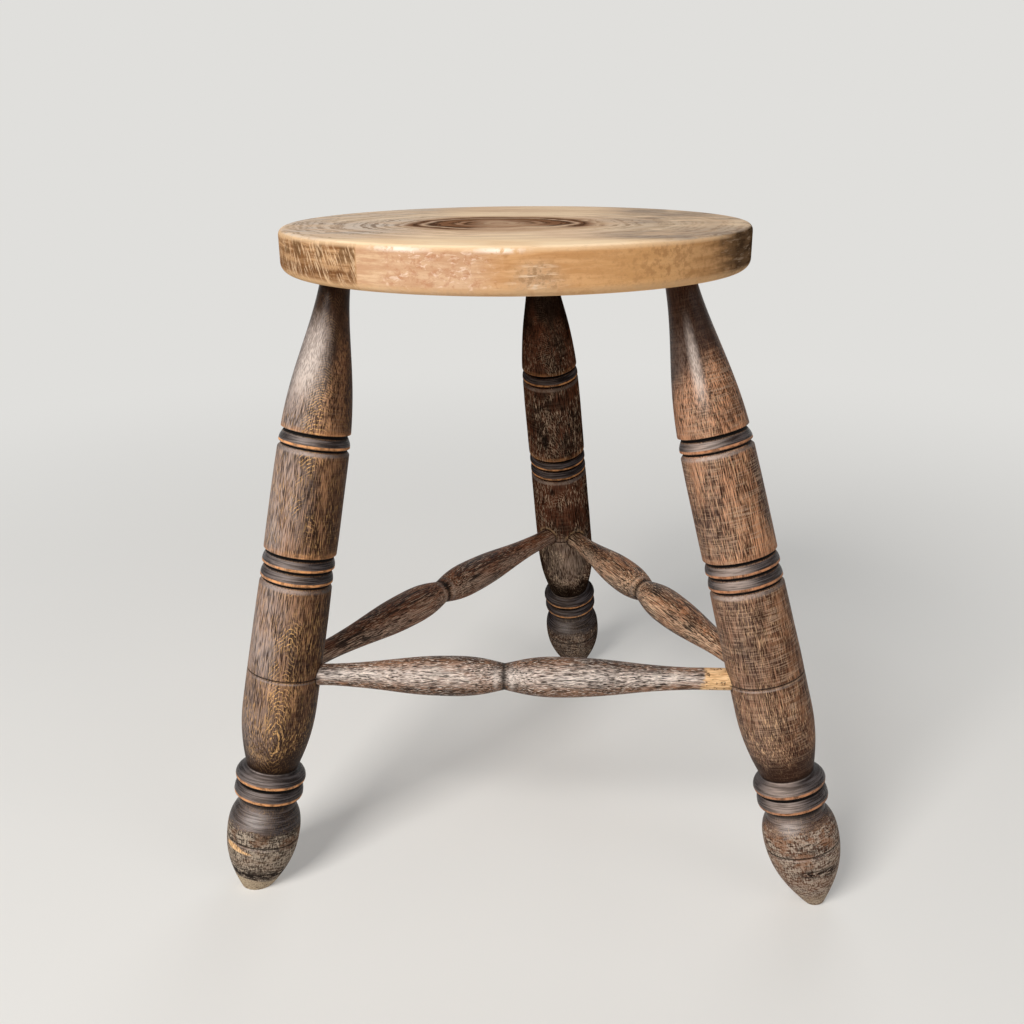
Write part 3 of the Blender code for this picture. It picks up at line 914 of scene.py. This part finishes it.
    def lay_bulb(self):
        """The weathered bulb: grey streaks and grain, warm patches, cracks, and black that flakes off."""
        stain = self.stain
        mixed = self.cloudy((200, 200, 1300), 29, 2.0) + self.cloudy((1300, 1300, 450), 13)
        grey = self.tones(mixed, 0.84, 1.16, stain.bulb_dark, stain.bulb_pale)
        upper = self.along.step(LOWER_BULB, BULB_MARK, 0.35, 1.0)
        warm = self.cloudy((110, 110, 190), 43, 3.0).step(0.46, 0.62, 0.0, 0.65) * upper
        grey = self.blend(warm, grey, self.blend(0.4, stain.deep, stain.middle))
        crack = self.cloudy((330, 330, 1300), 37, 3.0).step(0.55, 0.61, 0.0, 0.8) * upper
        grey = self.blend(crack, grey, BLACK)
        torn = (self.flake - 0.5) * 2.2 + self.weather
        self.torn = torn.step(0.40, 0.60) * self.weather.step(0.0, 0.12)
        self.tint(self.torn, grey)
        self.burnt = self.char * self.flake.step(0.42, 0.50)
        self.tint(self.burnt, BLACK)

    def lay_cuts(self):
        """The cuts: polished faces with turning lines and painted highlights, pale slopes, worn lips, glue,
        painted shade with dark marks, and bare wood.
        """
        stain = self.stain
        speck = self.cloudy((520, 520, 420), 41, 2.0)
        turned = self.cloudy((70, 70, 1500), 47, 2.0)
        face = self.tones(turned, 0.40, 0.66, (30, 26, 27), (78, 73, 74))
        # A painted highlight on the polished faces, on the lit side, following the turning lines
        pale_sheen = self.angle.hump(-0.35, 0.9) * turned.step(0.34, 0.60, 0.4, 1.0)
        face = self.blend(pale_sheen * stain.pale_sheen, face, stain.film)
        # A painted glint on the top of the bulb
        cap_glint = self.along.hump(BULB_CAP, 0.0065) * self.angle.hump(-0.30, 0.50) * stain.pale_sheen
        face = self.blend(cap_glint * turned.step(0.36, 0.58, 0.4, 1.0), face, (214, 209, 207))
        self.shine = self.polish * (1.0 - self.torn)
        self.tint(self.shine * 0.95, face)
        # The grey pale slopes turn lighter toward the lit side: a painted highlight
        slope = self.blend(self.angle.hump(-0.3, 1.1), (96, 89, 86), stain.film)
        self.tint(self.pale * speck.step(0.3, 0.6, 0.4, 0.9), slope)
        chipped = self.cloudy((230, 230, 400), 59, 2.0).step(0.54, 0.36, 0.0, 0.6)
        worn = self.blend(chipped, stain.worn, stain.deep)
        self.tint(self.lip * self.patch.step(0.34, 0.48, 0.5, 1.0), worn)
        self.tint(self.tan * speck.step(0.40, 0.56), (166, 134, 100))
        # Near black where the cuts are darkened: painted shade in grooves, undercuts and creases, and dark
        # joints and spots
        self.tint(self.soot, (12, 9, 8))
        fresh = self.tones(self.fibre, 0.38, 0.62, (190, 146, 100), (236, 198, 152))
        grey_end = self.tones(self.fibre, 0.38, 0.62, (146, 128, 106), (184, 167, 142))
        grain = self.tones(self.along, *GREY_END_EDGE, fresh, grey_end)
        grain = self.blend(speck.step(0.60, 0.66) * 0.8, grain, (70, 46, 30))
        self.tint(self.bare, grain)

    def lay_gloss(self):
        """Sleek and polished places shine, dry ones don't; fibres stand up and pores sink in."""
        rough = self.figure * 0.15 + self.cloud.step(0.35, 0.7, 0.44, 0.58)
        rough = self.most(self.torn, self.soot, self.bare) * 0.2 + rough
        self.settle(rough - self.most(self.sleek_and_shaded, self.shine) * 0.2, self.stain.gloss)
        height = self.figure * 0.4 + self.fibre
        self.relief(height - self.most(self.pore, self.burnt), 0.3)


def stained_wood(name, stain):
    """The finish of one turned piece, all its layers in order."""
    finish = StainedFinish(name, stain)
    finish.lay_stain()
    finish.close_and_shade_grain()
    finish.lay_film()
    finish.lay_flecks()
    finish.lay_painted_sheen()
    finish.lay_bulb()
    finish.lay_cuts()
    finish.lay_gloss()
    return finish.material


class PlankFinish(Finish):
    """Pale sanded wood on the seat, read by place from the middle of the seat's underside."""

    def __init__(self, name):
        super().__init__(name)
        self.place = self.vectors("SUBTRACT", self.object_place(), tuple(SEAT_FOOT.tolist()))
        self.x, self.y, self.z = self.split(self.place)
        self.cloud = self.noise(self.place, (16, 22, 40), 3.0, 0.55, 8.0)

    def lay_top(self):
        """The seat's top: nested oval rings round a dark heart, greyed at the sides, cream in front."""
        x, y, place = self.x, self.y, self.place
        drift = self.noise(place, (18, 30, 1), 4.0, 0.6, 2.0) - 0.5
        from_x = x + 0.007
        from_y = (y + 0.009) * (1 / 0.84)
        waver = self.noise(place, (60, 85, 1), 3.0, 0.6, 12.0) - 0.5
        heart = self.length(self.join(from_x, from_y, 0.0)) + drift * 0.016 + waver * 0.009
        ring_line = self.join(heart, drift * 0.004, 0.0)
        broad = self.noise(ring_line, (105, 105, 1), 2.0, 0.5, 4.0)
        fine = self.noise(ring_line, (430, 430, 1), 2.0, 0.6, 5.0)
        fading = heart.step(0.045, 0.085, 1.0, 0.45)
        scuffed = self.noise(place, (26, 60, 1), 4.0, 0.65, 15.0).step(0.36, 0.60, 0.25, 1.0)
        self.colour = self.tones(self.cloud, 0.38, 0.62, (244, 217, 184), (228, 198, 168))
        self.tint(broad.step(0.44, 0.62) * fading, (206, 172, 140))
        line = fine.step(0.50, 0.62) * fading * scuffed * 0.8
        self.tint(line, (166, 130, 102))

        # Grey weathering on both sides, kept off the front
        side = abs(x).step(0.028, 0.070)
        front = y.step(-0.084, -0.106)
        grey = side * (1.0 - front) * scuffed * self.cloud.step(0.34, 0.56, 0.5, 0.95)
        weathered = self.tones(fine, 0.46, 0.62, (214, 199, 184), (146, 128, 113))
        weathered = self.blend(x.step(0.020, 0.070, 0.0, 0.65), weathered, (146, 127, 109))
        self.tint(grey, weathered)

        # Dark heart: crescents to the left and to the right and back
        core = heart.step(0.053, 0.045)
        swayed = drift * 0.03
        rightward = from_y * 0.62 + (from_x * 0.78 + swayed)
        facing = (swayed - from_x).step(0.002, 0.020) + rightward.step(0.002, 0.022)
        facing = self.sums("MINIMUM", facing, 1.0)
        bright_ring = self.most(heart.hump(0.0215, 0.0028), heart.hump(0.0400, 0.0032))
        dark = core * (facing * 0.70 + 0.25) * (1.0 - bright_ring * 0.85)
        self.tint(core * 0.45, (200, 158, 126))
        self.tint(dark, self.tones(fine, 0.42, 0.60, (62, 35, 22), (146, 104, 76)))
        self.tint(core * fine.step(0.46, 0.58) * 0.35, (104, 66, 44))
        cream = self.tones(self.cloud, 0.35, 0.65, (254, 226, 188), (246, 210, 166))
        cream = self.blend(line * 0.6, cream, (222, 182, 142))
        self.tint(front * 0.85, cream)

    def lay_rim(self):
        """The seat's edge: sanded tan with patches of old surface.

        They are laid out by bearing from the front, in degrees, and by height.
        """
        z = self.z
        bearing = self.sums("ARCTAN2", self.x, self.y * -1.0) * (180 / math.pi)
        strip = self.join(bearing, 0.0, z)
        streak = self.noise(strip, (0.08, 1, 300), 4.0, 0.65, 6.0)
        mottle = self.noise(strip, (0.55, 1, 260), 4.0, 0.7, 7.0)
        self.colour = self.tones(streak, 0.38, 0.64, (203, 157, 111), (184, 136, 90))
        self.tint(mottle.step(0.50, 0.70, 0.0, 0.5), (166, 118, 74))
        self.tint(bearing.hump(36.0, 26.0) * 0.45, (216, 166, 110))
        blotch = bearing.hump(40.0, 20.0) * mottle.step(0.46, 0.58)
        self.tint(blotch * 0.45, (150, 106, 68))

        # Pink and whitish wisps left of the middle
        inwards = bearing.step(-26.0, -17.0)
        creamy = self.blend(inwards, (216, 184, 149), (204, 168, 136))
        pink = self.tones(streak, 0.38, 0.62, creamy, (190, 149, 116))
        pink = self.blend(mottle.step(0.48, 0.62, 0.0, 0.65) * inwards, pink, (176, 124, 92))
        curl = self.noise(strip, (0.45, 1, 420), 4.0, 0.75, 3.0, 0.8)
        pink = self.blend(curl.step(0.54, 0.66, 0.0, 0.6) * inwards, pink, (232, 208, 188))
        self.tint(bearing.step(-29.0, -28.4) * bearing.step(6.0, -4.0), pink)

        # A grey spot that widens downwards
        reach = z * -330.0 + 10.5
        spot = abs(bearing - 10.4).step(reach, reach * 0.1)
        spot = spot * z.step(0.0180, 0.0120) * mottle.step(0.36, 0.56, 0.4, 1.0)
        greyed = self.tones(mottle, 0.44, 0.58, (190, 157, 125), (160, 126, 93))
        scrape = self.noise(strip, (0.16, 1, 700), 3.0, 0.6, 39.0).step(0.54, 0.64)
        self.tint(spot, self.blend(scrape * 0.8, greyed, (222, 198, 172)))

        # Old dark surface with pale ray lines on the left
        old = bearing.step(-28.4, -29.2) * bearing.step(-112.0, -84.0)
        layer = self.noise(strip, (0.05, 1, 330), 3.0, 0.65, 27.0)
        aged = self.tones(layer, 0.40, 0.62, (124, 84, 52), (190, 150, 110))
        aged = self.blend(mottle.step(0.48, 0.60, 0.0, 0.6), aged, (112, 76, 48))
        deep_band = z.hump(0.0072, 0.0055) * mottle.step(0.36, 0.54, 0.3, 0.85)
        aged = self.blend(deep_band, aged, (92, 58, 35))
        tooth = self.noise(strip, (0.21, 1, 50), 3.0, 0.6, 13.0).step(0.48, 0.56)
        tooth = tooth * z.step(0.0105, 0.0140) * z.step(0.0206, 0.0192)
        aged = self.blend(tooth * 0.8, aged, (98, 70, 46))
        leaned = self.join(z * 210.0 + bearing, 0.0, z * 0.4)
        ray = self.noise(leaned, (1.9, 1, 300), 2.0, 0.6, 21.0).step(0.49, 0.62)
        aged = self.blend(ray * mottle.step(0.38, 0.56, 0.15, 0.75), aged, (218, 186, 150))
        self.tint(old * 0.96, aged)

        # Dark right end with pale streaks
        ragged = (mottle - 0.5) * 10.0 + ((streak - 0.5) * 24.0 + bearing)
        end = ragged.step(51.0, 66.0) * bearing.step(132.0, 112.0)
        chalk = self.noise(strip, (0.14, 1, 420), 4.0, 0.7, 33.0).step(0.53, 0.65)
        dark = self.tones(streak, 0.40, 0.60, (56, 41, 29), (104, 80, 58))
        self.tint(end * 0.95, self.blend(chalk * 0.6, dark, (170, 146, 122)))

        # Paler rounded edges, with a whitish painted glint, broken into patches, along parts of the upper one
        low_edge = z.step(0.0050, 0.0022) * mottle.step(0.3, 0.6, 0.3, 0.7)
        self.tint(low_edge, (222, 182, 138))
        high_edge = z.step(0.0188, 0.0208) * bearing.step(66.0, 54.0)
        self.tint(high_edge * 0.65, (232, 198, 158))
        pale_sheen = self.most(bearing.hump(-18.0, 10.0), bearing.hump(3.0, 8.0))
        pale_sheen = pale_sheen * z.hump(0.0202, 0.0022) * mottle.step(0.36, 0.54)
        self.tint(pale_sheen * 0.8, (250, 236, 222))

        # The back, plainly sanded, where the bearing jumps from one end of its range to the other
        grain = self.noise(self.place, (34, 34, 320), 4.0, 0.65, 45.0)
        plain = self.tones(grain, 0.38, 0.62, (206, 160, 114), (176, 128, 84))
        self.tint(abs(bearing).step(128.0, 172.0), plain)


def sanded_plank():
    """The seat's finish: its rim, its top over that, and fine fibres along the plank."""
    finish = PlankFinish("seat_wood_sanded")
    finish.lay_rim()
    rim = finish.colour
    finish.lay_top()
    top = finish.z.step(SEAT_THICKNESS - 0.0014, SEAT_THICKNESS - 0.0003)
    finish.colour = finish.blend(top, rim, finish.colour)
    fibre = finish.noise(finish.place, (80, 1400, 1400), 3.0, 0.6, 6.0)
    finish.tint(fibre.step(0.52, 0.74, 0.0, 0.28), (160, 122, 88))
    finish.settle(finish.cloud.step(0.3, 0.7, 0.7, 0.85), 0.0)
    finish.relief(fibre, 0.25)
    return finish.material


STRETCHER_STAIN = Stain(
    film_reach=0.9, painted_sheen=0.0, dark_share=0.0, dark_low=0.0, heart_slope=0.03, ring=0.00045,
    grain=80.0, arches=0.3, flecks=0.8, cracks=0.85, turning=0.0, pores=0.95, sleek_and_shaded=0.0,
)
STAINS = {
    "leg_left": Stain(),
    "leg_right": Stain(
        deep=(50, 26, 16), middle=(196, 141, 105), fleck=(222, 182, 142), film=(190, 171, 160),
        worn=(184, 128, 92), bulb_dark=(86, 62, 51), bulb_pale=(170, 154, 138),
        film_side=-0.6, film_share=0.15, film_low=0.0,
        painted_sheen_side=-0.12, painted_sheen_reach=0.30, painted_sheen=0.7, pale_sheen=0.66,
        dark_side=-1.5, dark_share=0.40, dark_below=0.50,
        heart_aside=0.03, heart_slope=0.03, ring=0.00045,
        arches=0.3, flecks=0.5, turning=0.68, pores=0.80, slant=0.009, seed=41.0,
    ),
    # The back leg's pale film near the floor is partly painted light: lighter away from the seat's shade
    "leg_back": Stain(
        deep=(14, 5, 2), middle=(95, 55, 37), fleck=(224, 194, 164), film=(146, 126, 111),
        worn=(196, 138, 90), bulb_dark=(50, 40, 34), bulb_pale=(124, 110, 99),
        film_side=0.0, film_share=0.05, film_low=0.95,
        painted_sheen=0.0, pale_sheen=0.15, dark_share=0.0, heart_aside=-0.02, arches=0.3, flecks=0.65,
        clusters=0.95, turning=0.10, pores=0.8, slant=0.0, gloss=0.0, seed=83.0,
    ),
    # Its pale film along the middle is partly a painted highlight
    "stretcher_front": STRETCHER_STAIN._replace(
        deep=(46, 30, 21), middle=(154, 114, 88), fleck=(246, 232, 218), film=(222, 209, 200),
        film_side=0.0, film_share=0.85, grain=200.0, cracks=0.3, gloss=0.15, seed=127.0,
    ),
    "stretcher_left": STRETCHER_STAIN._replace(
        deep=(34, 18, 12), middle=(138, 88, 61), fleck=(216, 188, 162), film=(178, 157, 141),
        film_side=-0.5, film_share=0.55, seed=167.0,
    ),
    "stretcher_right": STRETCHER_STAIN._replace(
        deep=(42, 23, 15), middle=(166, 115, 82), fleck=(230, 198, 164), film=(204, 176, 150),
        film_side=0.5, film_share=0.55, seed=211.0,
    ),
}


def dress(piece, node, material):
    """Give a piece its finish and let it stand for its solid."""
    piece.data.materials.append(material)
    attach(piece, "root")
    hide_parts(node)
    node + "_wood"


def make_floor():
    """A plain pale floor that takes the stool's shadow and fades outwards into the pale surround."""
    mesh = bpy.data.meshes.new("floor")
    corners = [(x * FLOOR_REACH, y * FLOOR_REACH, 0) for x, y in ((-1, -1), (1, -1), (1, 1), (-1, 1))]
    mesh.from_pydata(corners, [], [(0, 1, 2, 3)])
    floor = add_object("floor", mesh)
    finish = Finish("floor_paint")
    place = finish.object_place()
    finish.colour = finish.blend(finish.noise(place, (3, 3, 3)), (236, 234, 230), (241, 239, 236))
    finish.settle(0.9, 0.1)
    far = finish.length(place).step(0.1, 1.3, 0.25, 1.0)
    glow = finish.node("Emission", (SURROUND, 1.0))
    mixer = finish.node("MixShader", (far * finish.seen_share(), finish.shader.outputs[0], glow.outputs[0]))
    finish.fill(finish.tree.nodes["Material Output"], {"Surface": mixer.outputs[0]})
    mesh.materials.append(finish.material)


def set_pose(thing, right, up, back, place):
    """Stand an object at a place by the directions of its own three axes."""
    matrix = np.eye(4)
    matrix[:3, :3] = np.column_stack([right, up, back])
    matrix[:3, 3] = place
    thing.matrix_world = Matrix(matrix.tolist())


def make_lamp(name, place, target, size, watts, colour):
    """A soft square lamp that faces a point."""
    light = bpy.data.lights.new(name, "AREA")
    light.shape = "SQUARE"
    light.size = size
    light.energy = watts
    light.color = colour
    back = unit(np.array(place) - np.array(target))
    right = unit(np.cross([0, 0, 1.0], back))
    set_pose(add_object(name, light), right, np.cross(back, right), back, place)


def make_light():
    """Soft studio light: a large lamp from the front left and above, weak ones from the right and behind."""
    world = bpy.data.worlds.new("surround")
    bpy.context.scene.world = world
    world.use_nodes = True
    nodes = Nodes(world.node_tree)
    soft = nodes.tree.nodes["Background"]
    nodes.fill(soft, {"Color": (0.94, 0.97, 1.0, 1.0), "Strength": 0.12})
    seen = nodes.node("Background", (SURROUND, 1.0))
    mixer = nodes.node("MixShader", (nodes.seen_share(), soft.outputs[0], seen.outputs[0]))
    nodes.fill(nodes.tree.nodes["World Output"], {"Surface": mixer.outputs[0]})
    middle = (0.0, -0.05, 0.2)
    make_lamp("key_lamp", (-0.90, -1.72, 1.60), middle, 1.0, 57.0, (1.0, 0.98, 0.95))
    make_lamp("fill_lamp", (1.6, -1.1, 1.1), middle, 1.2, 6.0, (1.0, 0.98, 0.96))
    make_lamp("back_lamp", (0.3, 1.8, 1.6), middle, 1.4, 10.0, (0.96, 0.98, 1.0))


def make_camera():
    """The photograph's camera: its turn is built from yaw, pitch and roll."""
    yaw, pitch, roll = (math.radians(value) for value in (YAW, PITCH, ROLL))
    forward = np.array([-math.sin(yaw) * math.cos(pitch), math.cos(yaw) * math.cos(pitch), -math.sin(pitch)])
    level = np.array([math.cos(yaw), math.sin(yaw), 0.0])
    down = np.cross(forward, level)
    right = math.cos(roll) * level + math.sin(roll) * down
    down = math.cos(roll) * down - math.sin(roll) * level
    data = bpy.data.cameras.new("photo_camera")
    data.sensor_width = SENSOR_WIDTH
    data.lens = LENS
    data.clip_start = 0.01
    camera = add_object("photo_camera", data)
    set_pose(camera, right, -down, -forward, EYE)
    bpy.context.scene.camera = camera


make_camera()
dress(make_seat(), "seat", sanded_plank())
for name, stain in STAINS.items():
    piece = make_leg(name) if name in LEGS else make_stretcher(name)
    dress(piece, name, stained_wood(name + "_wood_stained", stain))
make_floor()
make_light()
bpy.context.scene.view_settings.view_transform = "Standard"
